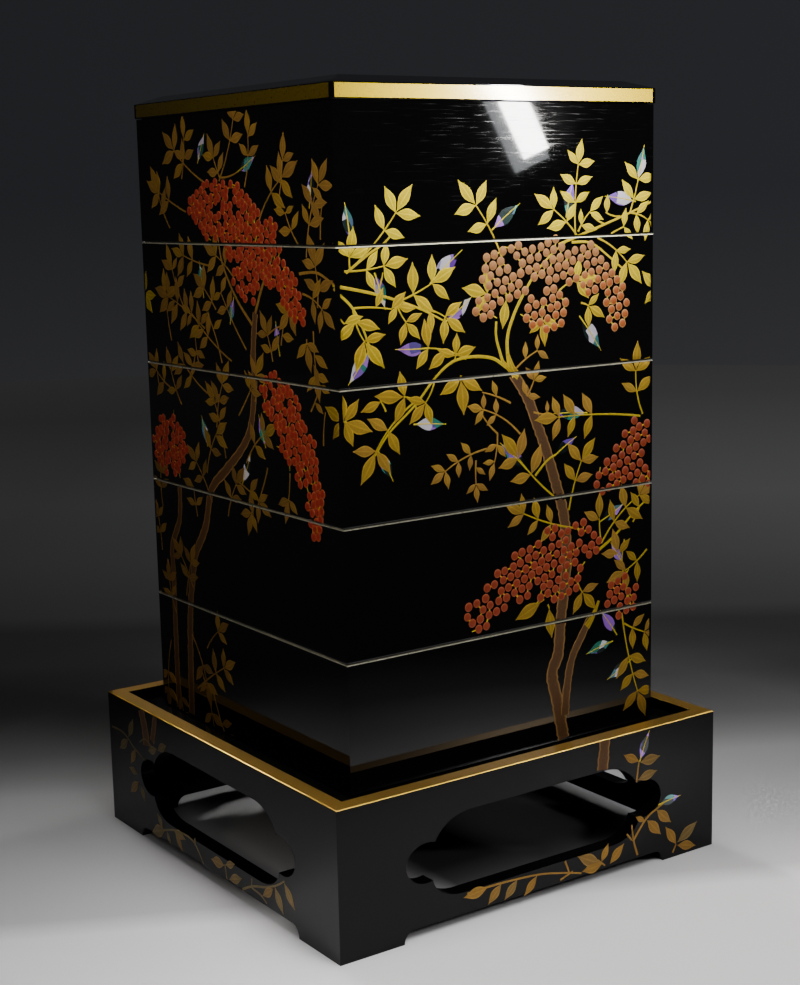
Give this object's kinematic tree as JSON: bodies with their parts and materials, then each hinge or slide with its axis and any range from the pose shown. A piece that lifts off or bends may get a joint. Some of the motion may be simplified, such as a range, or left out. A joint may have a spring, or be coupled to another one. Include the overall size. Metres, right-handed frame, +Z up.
{
  "type": "tiered lacquer box",
  "caption": "Square box of stacked tiers under a low bevelled lid, set in the well of a stand with shaped windows and short feet.",
  "frame": {"origin": "on the floor under the middle of the stand", "axes": "+Z up through the stack, X and Y along the square's sides, the side with the most gold leaves facing -Y"},
  "size_m": [0.286, 0.286, 0.482],
  "materials": {
    "black_lacquer": "polished black lacquer over wood",
    "gold_lacquer": "gold powder sprinkled on lacquer, burnished to a satin sheen",
    "red_lacquer": "raised vermilion lacquer, satin",
    "brown_lacquer": "raised rose-brown lacquer, satin",
    "trunk_lacquer": "thin copper-brown powder on lacquer",
    "shell_inlay": "thin iridescent shell under clear lacquer"
  },
  "bodies": {
    "root": {"lid": "black_lacquer", "tier_1": "black_lacquer", "tier_2": "black_lacquer", "tier_3": "black_lacquer", "tier_4": "black_lacquer", "tier_5": "black_lacquer", "stand": "black_lacquer"}
  },
  "joints": []
}
